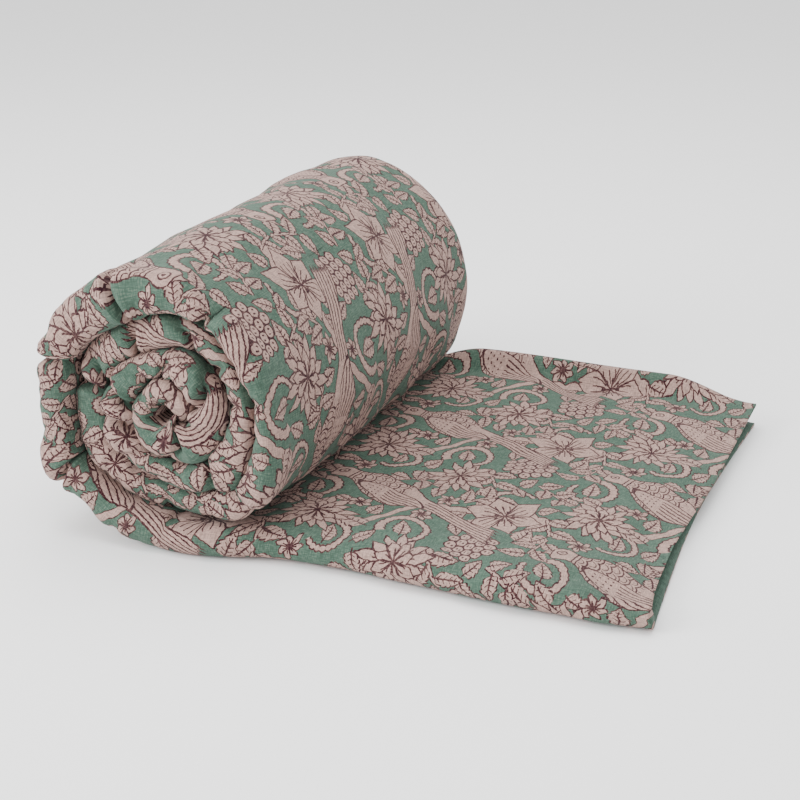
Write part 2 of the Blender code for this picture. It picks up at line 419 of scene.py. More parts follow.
# The gathers: each pinch is a narrow valley with a soft swell on both sides, and one side of it,
# which its lean chooses, is steeper.
VALLEY_POWER = 1.3          # 1 gives a sharp bottom, 2 a round one
SWELL = 0.26                # height of the swells, as a share of the pinch's depth
SWELL_WIDTH = 2.8           # and their reach, in half widths of it
relief = np.zeros(printed.shape[:2])
pinched = np.zeros(printed.shape[:2])
for degrees, spot, half_length, half_width, deep, lean in PINCHES:
    at = np.interp(math.radians(degrees), turn[tail_steps:], along[tail_steps:])
    du = cloth_u - at
    dv = cloth_v - spot
    du = du - math.tan(math.radians(lean)) * dv
    fade = np.exp(-(dv / half_length) ** 2)
    width = half_width * (0.6 + 0.8 * np.minimum(np.abs(dv) / half_length, 1.5))
    width = width * np.where(du * lean > 0.0, 1.6, 0.9)
    valley = np.exp(-np.abs(du / width) ** VALLEY_POWER)
    valley = valley - SWELL * np.exp(-(du / (SWELL_WIDTH * width)) ** 2)
    pinched += deep * fade * valley
# Small puckers, mostly where the inner half of the fold has less way to go round.
rng = np.random.default_rng(11)
at = TAIL_LENGTH + 0.02
while at < length:
    du = cloth_u - at
    dv = cloth_v - rng.uniform(-0.012, 0.024)
    du = du - rng.uniform(-0.45, 0.45) * dv
    fade = np.exp(-(dv / rng.uniform(0.010, 0.019)) ** 2)
    pinched += rng.uniform(0.0012, 0.0034) * fade * np.exp(-(du / rng.uniform(0.0042, 0.0060)) ** 2)
    at += rng.uniform(0.014, 0.026)
# Gentle waves of the padding.
for wavelength, height, count in ((0.16, 0.00063, 7), (0.075, 0.00042, 9), (0.038, 0.000196, 10)):
    for _ in range(count):
        heading = rng.uniform(0.0, math.pi)
        k = math.tau / (wavelength * rng.uniform(0.8, 1.25))
        phase = rng.uniform(0.0, math.tau)
        way = cloth_u * math.cos(heading) + cloth_v * math.sin(heading)
        relief += height * np.sin(k * way + phase)
# Inside the roll there is room for them only at the fold.
free = np.where(outside & (th < LAP), 1.0, np.exp(-(np.abs(cloth_v) / 0.030) ** 2))
free = np.where(on_tail, np.where(outside, 0.3, 1.0), free)
# A pinch is deepest at the fold's own crest; a flat face can only give as much as its padding.
crest = np.cos(swing)[None, :]
give = np.where(outside & (th < LAP), 0.80, 0.55)
pinched = np.minimum(pinched, give * thick + 0.018 * crest)
pinched = pinched * np.where(outside & (th < LAP), 1.0, 0.45 + 0.55 * crest)
relief = relief * free * fill - pinched * fill
printed = printed + normals(printed) * relief[..., None]
# It lies flat on the floor, and the lining stays above the printed face there.
printed[..., 2] = np.maximum(printed[..., 2], 0.0)
lining[..., 2] = np.maximum(lining[..., 2], 0.0008)

# The mesh: the printed face and, through the sewn edges, every fourth column of the lining.
box_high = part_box("quilt")[1]
most_creep = max(shift for _, shift in CREEP)
offset = np.array((box_high.x, box_high.y - FOLDED_WIDTH - most_creep, 0.0))
keep = [*range(0, len(across) - 1, 4), len(across) - 1]
mesh = bmesh.new()
uv = mesh.loops.layers.uv.new("cloth")
upper = [[mesh.verts.new(point + offset) for point in row] for row in printed]
under = [[mesh.verts.new(row[j] + offset) for j in keep] for row in lining]
places = {}
for skin, columns in ((upper, range(len(across))), (under, keep)):
    for i, row in enumerate(skin):
        for j, vert in zip(columns, row):
            places[vert] = (cloth_u[i, j], cloth_v[i, j])
for i in range(len(along) - 1):
    for j in range(len(across) - 1):
        mesh.faces.new((upper[i][j], upper[i + 1][j], upper[i + 1][j + 1], upper[i][j + 1]))
    for j in range(len(keep) - 1):
        face = mesh.faces.new((under[i][j], under[i][j + 1], under[i + 1][j + 1], under[i + 1][j]))
        face.material_index = 1
    mesh.faces.new((under[i][0], under[i + 1][0], upper[i + 1][0], upper[i][0]))
    mesh.faces.new((upper[i][-1], upper[i + 1][-1], under[i + 1][-1], under[i][-1]))
for i in (0, len(along) - 1):
    for k in range(len(keep) - 1):
        loop = upper[i][keep[k]:keep[k + 1] + 1] + [under[i][k + 1], under[i][k]]
        mesh.faces.new(loop)
bmesh.ops.recalc_face_normals(mesh, faces=mesh.faces)
for face in mesh.faces:
    face.smooth = True
    for loop in face.loops:
        loop[uv].uv = places[loop.vert]
data = bpy.data.meshes.new("quilt_cloth")
mesh.to_mesh(data)
mesh.free()
quilt = bpy.data.objects.new("quilt_cloth", data)
bpy.context.scene.collection.objects.link(quilt)

# --- The printed face -------------------------------------
# Plain-woven cotton, printed by hand with carved wooden blocks: a green ground that leaves the
# pinkish beige cloth bare as birds, flowers and leaves, and a dark plum block for the outlines.
# The design is drawn in the cloth's own metres, so it runs on round the fold and through the roll.
REPEAT_U = 0.258            # the blocks' repeat along the cloth
REPEAT_V = 0.180            # and across it; each next repeat along is dropped by half of this
LINE = 0.0017               # width of the outline block's lines


def linear(hex_colour):
    """An sRGB hex colour as the linear RGBA that a shader takes."""
    parts = [int(hex_colour[i:i + 2], 16) / 255.0 for i in (1, 3, 5)]
    return [c / 12.92 if c < 0.04045 else ((c + 0.055) / 1.055) ** 2.4 for c in parts] + [1.0]


def add(tree, kind, *inputs, curve=(), **settings):
    """Adds a shader node with its settings and fills or links its inputs in order. The kind may
    name an operation too, as in "VectorMath ADD"; a bare operation is a Math node's."""
    if kind.isupper():
        kind = "Math " + kind
    kind, _, operation = kind.partition(" ")
    node = tree.nodes.new("ShaderNode" + kind)
    if operation:
        node.operation = operation
    for name, value in settings.items():
        setattr(node, name, value)
    sockets = [socket for socket in node.inputs if socket.enabled]
    for socket, value in zip(sockets, inputs):
        if isinstance(value, bpy.types.Node):
            value = next(output for output in value.outputs if output.enabled)
        if isinstance(value, bpy.types.NodeSocket):
            tree.links.new(value, socket)
        elif value is not None:
            socket.default_value = value
    for point in curve:
        if point in (curve[0], curve[-1]):
            node.mapping.curves[0].points[0 if point == curve[0] else -1].location = point
        else:
            node.mapping.curves[0].points.new(*point)
    return node


def open_group(name, *inputs):
    """A new node group and its inputs."""
    tree = bpy.data.node_groups.new(name, "ShaderNodeTree")
    for label in inputs:
        kind = "NodeSocketVector" if label in ("Cloth", "Local") else "NodeSocketFloat"
        tree.interface.new_socket(label, in_out="INPUT", socket_type=kind)
    return tree, *list(tree.nodes.new("NodeGroupInput").outputs)[:len(inputs)]


def close_group(tree, **results):
    """Wires a group's results and gives the finished group."""
    for label in results:
        kind = "NodeSocketVector" if label == "Local" else "NodeSocketFloat"
        tree.interface.new_socket(label, in_out="OUTPUT", socket_type=kind)
    end = tree.nodes.new("NodeGroupOutput")
    for socket, value in zip(end.inputs, results.values()):
        tree.links.new(value.outputs[0] if isinstance(value, bpy.types.Node) else value, socket)
    return tree


def outline(tree, away, within):
    """Cover and line of a shape: "away" is the distance outside its edge."""
    cover = add(tree, "LESS_THAN", away, LINE / 2.0)
    cover = add(tree, "MULTIPLY", cover, within)
    line = add(tree, "COMPARE", away, 0.0, LINE / 2.0)
    return cover, add(tree, "MULTIPLY", line, within)


def bumps(tree, along, rate):
    """A row of rounded bumps, 0 to 1, on a line."""
    wave = add(tree, "MULTIPLY", along, rate)
    wave = add(tree, "SINE", wave)
    return add(tree, "ABSOLUTE", wave)


def place_group():
    """Moves the cloth's metres into a motif's own axes, repeated in half-drop."""
    g, cloth, u, v, turn = open_group("motif place", "Cloth", "U", "V", "Turn")
    x, y = add(g, "SeparateXYZ", cloth).outputs[:2]
    x = add(g, "SUBTRACT", x, u)
    column = add(g, "DIVIDE", x, REPEAT_U)
    column = add(g, "ROUND", column)
    x = add(g, "MULTIPLY_ADD", column, -REPEAT_U, x)
    y = add(g, "SUBTRACT", y, v)
    y = add(g, "MULTIPLY_ADD", column, -REPEAT_V / 2.0, y)
    y = add(g, "WRAP", y, REPEAT_V / 2.0, -REPEAT_V / 2.0)
    local = add(g, "CombineXYZ", x, y)
    local = add(g, "VectorRotate", local, None, turn, rotation_type="Z_AXIS")
    return close_group(g, Local=local)


def over_group():
    """Lays one motif over what is printed already."""
    g, bare, drawn, cover, line = open_group("motif over", "Bare", "Outline", "Cover", "Line")
    hidden = add(g, "SUBTRACT", 1.0, cover)
    drawn = add(g, "MULTIPLY", drawn, hidden)
    bare = add(g, "MAXIMUM", bare, cover)
    drawn = add(g, "MAXIMUM", drawn, line)
    return close_group(g, Bare=bare, Outline=drawn)


def flower_group(name, profile, ribs):
    """Petals about a centre, each a little longer or shorter than the next, and stamens."""
    g, local, petals, length, width, stamen = open_group(
        name, "Local", "Petals", "Length", "Width", "Stamen")
    x, y = add(g, "SeparateXYZ", local).outputs[:2]
    reach = add(g, "VectorMath LENGTH", local)
    angle = add(g, "ARCTAN2", y, x)
    sector = add(g, "DIVIDE", math.tau, petals)
    petal = add(g, "DIVIDE", angle, sector)
    petal = add(g, "ROUND", petal)
    turned = add(g, "MULTIPLY", petal, sector)
    turned = add(g, "SUBTRACT", angle, turned)
    petal = add(g, "MULTIPLY", petal, 2.3)
    petal = add(g, "SINE", petal)
    petal = add(g, "MULTIPLY_ADD", petal, 0.12, 0.90)
    petal = add(g, "MULTIPLY", petal, length)
    along = add(g, "COSINE", turned)
    along = add(g, "MULTIPLY", along, reach)
    along = add(g, "DIVIDE", along, petal)
    side = add(g, "SINE", turned)
    side = add(g, "MULTIPLY", side, reach)
    bend = add(g, "MULTIPLY", along, along)
    side = add(g, "MULTIPLY_ADD", bend, -0.0028, side)
    side = add(g, "ABSOLUTE", side)
    edge = add(g, "FloatCurve", 1.0, along, curve=profile)
    edge = add(g, "MULTIPLY", edge, width)
    within = add(g, "LESS_THAN", along, 1.0)
    away = add(g, "SUBTRACT", side, edge)
    cover, line = outline(g, away, within)
    # the line where two petals meet
    gap = add(g, "ABSOLUTE", turned)
    gap = add(g, "MULTIPLY_ADD", sector, -0.5, gap)
    gap = add(g, "MULTIPLY", gap, reach)
    gap = add(g, "GREATER_THAN", gap, -LINE / 2.0)
    gap = add(g, "MULTIPLY", gap, cover)
    line = add(g, "MAXIMUM", line, gap)
    # the ribs down each petal
    part = add(g, "COMPARE", along, 0.34, 0.20)
    for spread in ribs:
        rib = add(g, "MULTIPLY", edge, spread)
        rib = add(g, "SUBTRACT", side, rib)
        rib = add(g, "COMPARE", rib, 0.0, LINE * 0.38)
        rib = add(g, "MULTIPLY", rib, part)
        line = add(g, "MAXIMUM", line, rib)
    ray = add(g, "MULTIPLY", angle, 8.0)
    ray = add(g, "SINE", ray)
    ray = add(g, "GREATER_THAN", ray, 0.35)
    near = add(g, "LESS_THAN", reach, stamen)
    ray = add(g, "MULTIPLY", ray, near)
    line = add(g, "MAXIMUM", line, ray)
    return close_group(g, Cover=cover, Line=line)


def leaf_group():
    """Toothed leaves with a rib and slanting veins: one alone, or a spray of them that stand by
    turns on the two sides of a stem."""
    g, local, length, width, pairs, slant = open_group(
        "leaf", "Local", "Length", "Width", "Pairs", "Slant")
    x, y = add(g, "SeparateXYZ", local).outputs[:2]
    spray = add(g, "GREATER_THAN", pairs, 0.5)
    step = add(g, "MULTIPLY", length, 0.76)
    below = add(g, "LESS_THAN", y, 0.0)
    below = add(g, "MULTIPLY", below, spray)
    stagger = add(g, "MULTIPLY", below, step)
    ahead = add(g, "MULTIPLY_ADD", stagger, -0.5, x)
    mirror = add(g, "ABSOLUTE", y)
    mirror = add(g, "SUBTRACT", mirror, y)
    mirror = add(g, "MULTIPLY_ADD", mirror, spray, y)
    # the nearest leaf is found along its own slant
    shear = add(g, "TANGENT", slant)
    shear = add(g, "DIVIDE", mirror, shear)
    shear = add(g, "MULTIPLY", shear, spray)
    pair = add(g, "SUBTRACT", ahead, shear)
    pair = add(g, "DIVIDE", pair, step)
    pair = add(g, "ROUND", pair)
    pair = add(g, "MAXIMUM", pair, 0.0)
    last = add(g, "SUBTRACT", pairs, 1.0)
    last = add(g, "MAXIMUM", last, 0.0)
    pair = add(g, "MINIMUM", pair, last)
    back = add(g, "MULTIPLY", pair, step)
    back = add(g, "SUBTRACT", ahead, back)
    leaf = add(g, "CombineXYZ", back, mirror)
    slant = add(g, "MULTIPLY", slant, -1.0)
    leaf = add(g, "VectorRotate", leaf, None, slant, rotation_type="Z_AXIS")
    lx, ly = add(g, "SeparateXYZ", leaf).outputs[:2]
    along = add(g, "DIVIDE", lx, length)
    bend = add(g, "MULTIPLY", along, along)
    bend = add(g, "MULTIPLY", bend, length)
    side = add(g, "MULTIPLY_ADD", bend, -0.16, ly)
    side = add(g, "ABSOLUTE", side)
    tooth = add(g, "MULTIPLY", along, 6.0)
    tooth = add(g, "FRACT", tooth)
    tooth = add(g, "MULTIPLY_ADD", tooth, -0.26, 1.12)
    edge = add(g, "FloatCurve", 1.0, along, curve=(
        (0.0, 0.0), (0.10, 0.02), (0.16, 0.55), (0.32, 0.95), (0.45, 1.0), (0.66, 0.74), (0.86, 0.34),
        (1.0, 0.0)))
    edge = add(g, "MULTIPLY", edge, width)
    edge = add(g, "MULTIPLY", edge, tooth)
    within = add(g, "COMPARE", along, 0.5, 0.5)
    away = add(g, "SUBTRACT", side, edge)
    cover, line = outline(g, away, within)
    rib = add(g, "LESS_THAN", side, LINE * 0.5)
    part = add(g, "COMPARE", along, 0.40, 0.40)
    rib = add(g, "MULTIPLY", rib, part)
    line = add(g, "MAXIMUM", line, rib)
    slope = add(g, "DIVIDE", side, width)
    slope = add(g, "MULTIPLY", slope, -1.0)
    vein = add(g, "MULTIPLY_ADD", along, 6.0, slope)
    vein = add(g, "FRACT", vein)
    vein = add(g, "LESS_THAN", vein, 0.22)
    inner = add(g, "MULTIPLY", edge, 0.60)
    inner = add(g, "LESS_THAN", side, inner)
    vein = add(g, "MULTIPLY", vein, inner)
    vein = add(g, "MULTIPLY", vein, within)
    line = add(g, "MAXIMUM", line, vein)
    # the spray's own stem, a thin bare twig under the leaves
    half = add(g, "MULTIPLY_ADD", spray, 0.5, last)
    half = add(g, "MULTIPLY", half, step)
    half = add(g, "MULTIPLY", half, 0.5)
    stem = add(g, "COMPARE", x, half, half)
    hidden = add(g, "SUBTRACT", stem, cover)
    hidden = add(g, "MAXIMUM", hidden, 0.0)
    near = add(g, "ABSOLUTE", y)
    bark = add(g, "COMPARE", near, 0.0018, LINE * 0.34)
    bark = add(g, "MULTIPLY", bark, hidden)
    line = add(g, "MAXIMUM", line, bark)
    twig = add(g, "LESS_THAN", near, 0.0018)
    twig = add(g, "MULTIPLY", twig, stem)
    cover = add(g, "MAXIMUM", cover, twig)
    return close_group(g, Cover=cover, Line=line)


def berry_group():
    """A rounded bunch of berries in rows, each a ring with dots."""
    g, local, length, width, step = open_group("berries", "Local", "Length", "Width", "Step")
    x, y = add(g, "SeparateXYZ", local).outputs[:2]
    row = add(g, "MULTIPLY", step, 0.86)
    two_rows = add(g, "MULTIPLY", row, 2.0)
    size = add(g, "CombineXYZ", length, width, 1.0)
    laid = []
    for shift in (0.0, 0.5):
        u = add(g, "MULTIPLY_ADD", step, shift, x)
        v = add(g, "MULTIPLY_ADD", row, shift * 2.0, y)
        inside = []
        for at, pitch in ((u, step), (v, two_rows)):
            berry = add(g, "DIVIDE", at, pitch)
            berry = add(g, "ROUND", berry)
            berry = add(g, "MULTIPLY", berry, pitch)
            inside.append(add(g, "SUBTRACT", at, berry))
        inside = add(g, "CombineXYZ", *inside)
        heap = add(g, "VectorMath SUBTRACT", local, inside)
        heap = add(g, "VectorMath DIVIDE", heap, size)
        heap = add(g, "VectorMath LENGTH", heap)
        heap = add(g, "LESS_THAN", heap, 1.0)
        ring = add(g, "VectorMath LENGTH", inside)
        edge = add(g, "MULTIPLY", step, 0.50)
        away = add(g, "SUBTRACT", ring, edge)
        cover, line = outline(g, away, heap)
        dot = add(g, "VectorMath ABSOLUTE", inside)
        dot = add(g, "VectorMath DISTANCE", dot, (0.0020, 0.0006, 0.0))
        dot = add(g, "LESS_THAN", dot, 0.0009)
        dot = add(g, "MULTIPLY", dot, cover)
        laid.append((cover, add(g, "MAXIMUM", line, dot)))
    hidden = add(g, "SUBTRACT", 1.0, laid[1][0])
    line = add(g, "MULTIPLY", laid[0][1], hidden)
    line = add(g, "MAXIMUM", line, laid[1][1])
    cover = add(g, "MAXIMUM", laid[0][0], laid[1][0])
    return close_group(g, Cover=cover, Line=line)


def twig_group():
    """A curling twig: part of a ring that thins to its tip, with knotted edges."""
    g, local, bend, sweep, width = open_group("twig", "Local", "Radius", "Sweep", "Width")
    x, y = add(g, "SeparateXYZ", local).outputs[:2]
    reach = add(g, "VectorMath LENGTH", local)
    angle = add(g, "ARCTAN2", y, x)
    taper = add(g, "DIVIDE", angle, sweep)
    taper = add(g, "MULTIPLY_ADD", taper, 0.30, 0.70)
    taper = add(g, "MULTIPLY", taper, width)
    knot = bumps(g, angle, 11.0)
    knot = add(g, "MULTIPLY_ADD", knot, 0.0013, taper)
    away = add(g, "SUBTRACT", reach, bend)
    away = add(g, "ABSOLUTE", away)
    away = add(g, "SUBTRACT", away, knot)
    within = add(g, "COMPARE", angle, 0.0, sweep)
    cover, line = outline(g, away, within)
    return close_group(g, Cover=cover, Line=line)


def branch_group():
    """The thick knotted branch that winds on from one repeat to the next."""
    g, cloth, u, v = open_group("branch", "Cloth", "U", "V")
    x, y = add(g, "SeparateXYZ", cloth).outputs[:2]
    x = add(g, "SUBTRACT", x, u)
    phase = add(g, "MULTIPLY", x, math.tau / REPEAT_U)
    wave = add(g, "SINE", phase)
    ripple = add(g, "MULTIPLY_ADD", phase, 3.0, 0.8)
    ripple = add(g, "SINE", ripple)
    ripple = add(g, "MULTIPLY", ripple, 0.0070)
    wave = add(g, "MULTIPLY_ADD", wave, 0.0190, ripple)
    wave = add(g, "MULTIPLY_ADD", x, REPEAT_V / 2.0 / REPEAT_U, wave)
    y = add(g, "SUBTRACT", y, v)
    y = add(g, "SUBTRACT", y, wave)
    y = add(g, "WRAP", y, REPEAT_V / 2.0, -REPEAT_V / 2.0)
    side = bumps(g, phase, 9.0)
    side = add(g, "MULTIPLY_ADD", side, 0.0030, 0.0048)
    y = add(g, "ABSOLUTE", y)
    away = add(g, "SUBTRACT", y, side)
    cover, line = outline(g, away, 1.0)
    return close_group(g, Cover=cover, Line=line)


BIRD_LENGTH = 0.224         # from beak to tail
BIRD_FRONT = 0.110          # beak ahead of the bird's own origin
BIRD_HALF = 0.0290          # half its depth where its outline's curve is at 1
EYE = (0.0215, 0.0020, 0.0)         # from the beak and above the spine
WING = (0.092, -0.009, 0.0)         # its middle
WING_LONG = 0.044                   # half its length
WING_DEEP = 0.0145                  # half its depth
SCALE_ROW = 0.0100          # from one row of scales to the next
SCALE_HALF = 0.0065         # half of a scale's width
TAIL_POINT = 0.0046         # width of a tail feather's point


def bird_group():
    """A long-tailed bird seen from the side, its beak at -X: eye, collar, scales, wing, tail."""
    g, local = open_group("bird", "Local")
    x, y = add(g, "SeparateXYZ", local).outputs[:2]
    x = add(g, "ADD", x, BIRD_FRONT)
    along = add(g, "DIVIDE", x, BIRD_LENGTH)
    spine = add(g, "FloatCurve", 1.0, along, curve=(
        (0.0, 0.60), (0.07, 0.74), (0.18, 0.70), (0.34, 0.56), (0.5, 0.42), (0.75, 0.26),
        (1.0, 0.0)))
    side = add(g, "MULTIPLY_ADD", spine, -0.080, y)
    side = add(g, "ADD", side, 0.040)
    flank = add(g, "ABSOLUTE", side)
    edge = add(g, "FloatCurve", 1.0, along, curve=(
        (0.0, 0.0), (0.045, 0.10), (0.06, 0.32), (0.10, 0.44), (0.15, 0.38), (0.22, 0.62),
        (0.32, 0.94), (0.42, 0.86), (0.52, 0.56), (0.62, 0.32), (0.76, 0.30), (0.92, 0.46),
        (1.0, 0.50)))
    edge = add(g, "MULTIPLY", edge, BIRD_HALF)
    away = add(g, "SUBTRACT", flank, edge)
    # the tail feathers end in points
    point = bumps(g, side, math.pi / TAIL_POINT)
    point = add(g, "MULTIPLY_ADD", point, 0.035, along)
    point = add(g, "SUBTRACT", point, 1.0)
    point = add(g, "MULTIPLY", point, BIRD_LENGTH)
    away = add(g, "MAXIMUM", away, point)
    within = add(g, "GREATER_THAN", along, 0.0)
    cover, line = outline(g, away, within)
    flat = add(g, "CombineXYZ", x, side)
    eye = add(g, "VectorMath DISTANCE", flat, EYE)
    ring = add(g, "COMPARE", eye, 0.0044, LINE * 0.45)
    pupil = add(g, "LESS_THAN", eye, 0.0016)
    marks = add(g, "MAXIMUM", ring, pupil)
    # a line behind the beak and two round the collar
    for behind in (0.0125, 0.0355, 0.0395):
        collar = add(g, "COMPARE", x, behind, LINE * 0.45)
        marks = add(g, "MAXIMUM", marks, collar)
    # scales, as rows of arcs over the breast and back
    row = add(g, "MULTIPLY", x, 1.0 / SCALE_ROW)
    index = add(g, "FLOOR", row)
    row = add(g, "FRACT", row)
    row = add(g, "MULTIPLY", row, SCALE_ROW)
    odd = add(g, "MULTIPLY_ADD", index, SCALE_HALF, side)
    odd = add(g, "WRAP", odd, SCALE_HALF, -SCALE_HALF)
    scale = add(g, "CombineXYZ", row, odd)
    scale = add(g, "VectorMath LENGTH", scale)
    inner = add(g, "COMPARE", scale, 0.0048, LINE * 0.32)
    scale = add(g, "COMPARE", scale, 0.0084, LINE * 0.50)
    scale = add(g, "MAXIMUM", scale, inner)
    breast = add(g, "COMPARE", x, 0.072, 0.031)
    scale = add(g, "MULTIPLY", scale, breast)
    marks = add(g, "MAXIMUM", marks, scale)
    # the wing, dotted in front and feathered behind
    wing = add(g, "VectorMath SUBTRACT", flat, WING)
    wing = add(g, "VectorMath MULTIPLY", wing, (1.0 / WING_LONG, 1.0 / WING_DEEP, 1.0))
    wing = add(g, "VectorMath LENGTH", wing)
    rim = add(g, "COMPARE", wing, 1.0, 0.045)
    body = add(g, "GREATER_THAN", wing, 1.0)
    marks = add(g, "MULTIPLY", marks, body)
    marks = add(g, "MAXIMUM", marks, rim)
    winged = add(g, "LESS_THAN", wing, 0.88)
    speck = add(g, "VectorMath WRAP", flat, (0.0029, 0.0029, 1.0), (-0.0029, -0.0029, -1.0))
    speck = add(g, "VectorMath LENGTH", speck)
    speck = add(g, "LESS_THAN", speck, 0.0011)
    front = add(g, "LESS_THAN", x, 0.080)
    front = add(g, "MULTIPLY", front, winged)
    speck = add(g, "MULTIPLY", speck, front)
    marks = add(g, "MAXIMUM", marks, speck)
    feather = add(g, "WRAP", side, 0.0023, -0.0023)
    feather = add(g, "ABSOLUTE", feather)
    feather = add(g, "LESS_THAN", feather, LINE * 0.45)
    rear = add(g, "GREATER_THAN", x, 0.083)
    rear = add(g, "MULTIPLY", rear, winged)
    tail = add(g, "GREATER_THAN", x, 0.134)
    rear = add(g, "MAXIMUM", rear, tail)
    feather = add(g, "MULTIPLY", feather, rear)
    marks = add(g, "MAXIMUM", marks, feather)
    marks = add(g, "MULTIPLY", marks, cover)
    line = add(g, "MAXIMUM", line, marks)
    return close_group(g, Cover=cover, Line=line)


# The motifs in the order in which they overlap, lowest first: where each lies in the repeat in
# millimetres, its turn in degrees, and its sizes in millimetres, counts or degrees. A leaf with no
# pairs stands alone.
SPRAY = {"Length": 28, "Width": 8, "Pairs": 2, "Slant": 50}
MOTIFS = (
    # block       u     v   turn  sizes
    ("branch",    0,    0,    0,  {}),
    ("twig",   -100,   30,   60,  {"Radius": 21, "Sweep": 150, "Width": 4.0}),
    ("twig",     15,  -34,  -70,  {"Radius": 23, "Sweep": 140, "Width": 4.2}),
    ("twig",     96,   66,  190,  {"Radius": 21, "Sweep": 130, "Width": 3.8}),
    ("twig",    -50,  -62,   20,  {"Radius": 19, "Sweep": 120, "Width": 3.6}),
    ("leaf",   -100,   17,  -90,  {"Length": 30, "Width": 9}),
    ("leaf",     15,  -48,  -90,  {"Length": 30, "Width": 9}),
    ("leaf",     96,   54,   90,  {"Length": 30, "Width": 9}),
    ("leaf",    -50,  -76,  -80,  {"Length": 28, "Width": 8}),
    ("leaf",     42,    8,   10,  SPRAY),
    ("leaf",    -70,    4,  160,  {"Length": 29, "Width": 8.5, "Pairs": 2, "Slant": 48}),
    ("leaf",     54,  -66,   60,  {"Length": 28, "Width": 8, "Pairs": 2, "Slant": 52}),
    ("leaf",   -118,  -48,   75,  {"Length": 28, "Width": 8, "Pairs": 2, "Slant": 52}),
    ("leaf",    -18,   82,   20,  SPRAY),
    ("leaf",    118,  -12,  -60,  {"Length": 32, "Width": 10}),
    ("leaf",    -20,  -42,  210,  {"Length": 36, "Width": 11}),
    ("leaf",     52,   46,  -40,  SPRAY),
    ("leaf",   -110,   90,  110,  SPRAY),
    ("leaf",    109,  -70,   30,  {"Length": 25, "Width": 7.5, "Pairs": 2, "Slant": 52}),
    ("leaf",    -30,  -14,  -70,  {"Length": 28, "Width": 9}),
    ("leaf",    -44,   84,   20,  {"Length": 26, "Width": 8}),
    ("leaf",    -72,   14,   35,  {"Length": 22, "Width": 7}),
    ("leaf",    -16,  -76,   90,  {"Length": 26, "Width": 8}),
    ("leaf",     48,  -54,   80,  {"Length": 22, "Width": 7}),
    ("leaf",     88,  -84,   60,  {"Length": 22, "Width": 7}),
    ("leaf",    -23,  -71,  -48,  {"Length": 28, "Width": 8.5}),
    ("leaf",   -136,  -36,  -15,  {"Length": 25, "Width": 8}),
    ("leaf",     89,  -80,  -45,  {"Length": 24, "Width": 8}),
    ("aster",   -79,  -84,    0,  {"Petals": 7, "Length": 15, "Width": 4.2, "Stamen": 2}),
    ("aster",    35,   44,   20,  {"Petals": 7, "Length": 15, "Width": 4.2, "Stamen": 2}),
    ("aster",   -47,    8,   20,  {"Petals": 6, "Length": 14, "Width": 4.4, "Stamen": 2}),
    ("aster",    22,    2,   20,  {"Petals": 6, "Length": 13, "Width": 4.2, "Stamen": 2}),
    ("berries",  84,  -36,   25,  {"Length": 28, "Width": 22, "Step": 11.5}),
    ("aster",   -74,  -28,   15,  {"Petals": 15, "Length": 41, "Width": 6.0, "Stamen": 4}),
    ("petal",   -74,  -28,   28,  {"Petals": 9, "Length": 26, "Width": 6.0, "Stamen": 4}),
    ("aster",    26,  -82,   60,  {"Petals": 14, "Length": 40, "Width": 6.0, "Stamen": 4}),
    ("petal",    26,  -82,   70,  {"Petals": 8, "Length": 25, "Width": 6.0, "Stamen": 4}),
    ("lily",     96,   34,    8,  {"Petals": 6, "Length": 46, "Width": 13, "Stamen": 10}),
    ("bird",     -4,   38,    8,  {}),
)
ANGLES = ("Sweep", "Slant")
COUNTS = ("Petals", "Pairs")


def print_layers(tree, cloth):
    """Lays all motifs of the repeat over each other; gives the bare and the outline shares."""
    pointed = ((0.0, 0.16), (0.16, 0.40), (0.34, 0.86), (0.48, 1.0), (0.66, 0.78), (0.84, 0.34),
               (1.0, 0.0))
    thin = ((0.0, 0.30), (0.25, 0.62), (0.50, 1.0), (0.68, 0.84), (0.86, 0.36), (1.0, 0.0))
    groups = {"branch": branch_group(), "twig": twig_group(), "leaf": leaf_group(),
              "berries": berry_group(), "aster": flower_group("aster", thin, (0.0,)),
              "petal": flower_group("petal", thin, (0.4,)),
              "lily": flower_group("lily", pointed, (0.0, 0.5)), "bird": bird_group()}
    places = place_group()
    overs = over_group()
    bare = outlines = 0.0
    for kind, u, v, turn, sizes in MOTIFS:
        spot = (cloth, u / 1000.0, v / 1000.0)
        if kind != "branch":
            spot = (add(tree, "Group", *spot, math.radians(turn), node_tree=places),)
        scaled = [math.radians(size) if label in ANGLES else size if label in COUNTS
                  else size / 1000.0 for label, size in sizes.items()]
        motif = add(tree, "Group", *spot, *scaled, node_tree=groups[kind])
        cover, line = motif.outputs
        over = add(tree, "Group", bare, outlines, cover, line, node_tree=overs)
        bare, outlines = over.outputs
    return bare, outlines


# --- The cotton itself ------------------------------------
# Both faces are the same plain weave of uneven threads, matt and a little fuzzy, and the wadding
# can be felt through it. The threads are drawn at twice their real half millimetre, or they
# would not show.
THREADS = 1000.0            # in a metre
SLUBS = 140.0               # thick places in a metre of thread
THREAD_HEIGHT = 0.00030
LUMPS = 55.0                # of the wadding, in a metre
LUMP_HEIGHT = 0.0016


def woven(tree, cloth):
    """Uneven threads along and across the cloth: their height from 0 to 1."""
    rows = []
    for stretch in ((SLUBS, THREADS, 1.0), (THREADS, SLUBS, 1.0)):
        thread = add(tree, "VectorMath MULTIPLY", cloth, stretch)
        rows.append(add(tree, "TexNoise", thread, 1.0, 1.0, 0.6, noise_dimensions="2D"))
    return add(tree, "MULTIPLY", rows[0], rows[1])


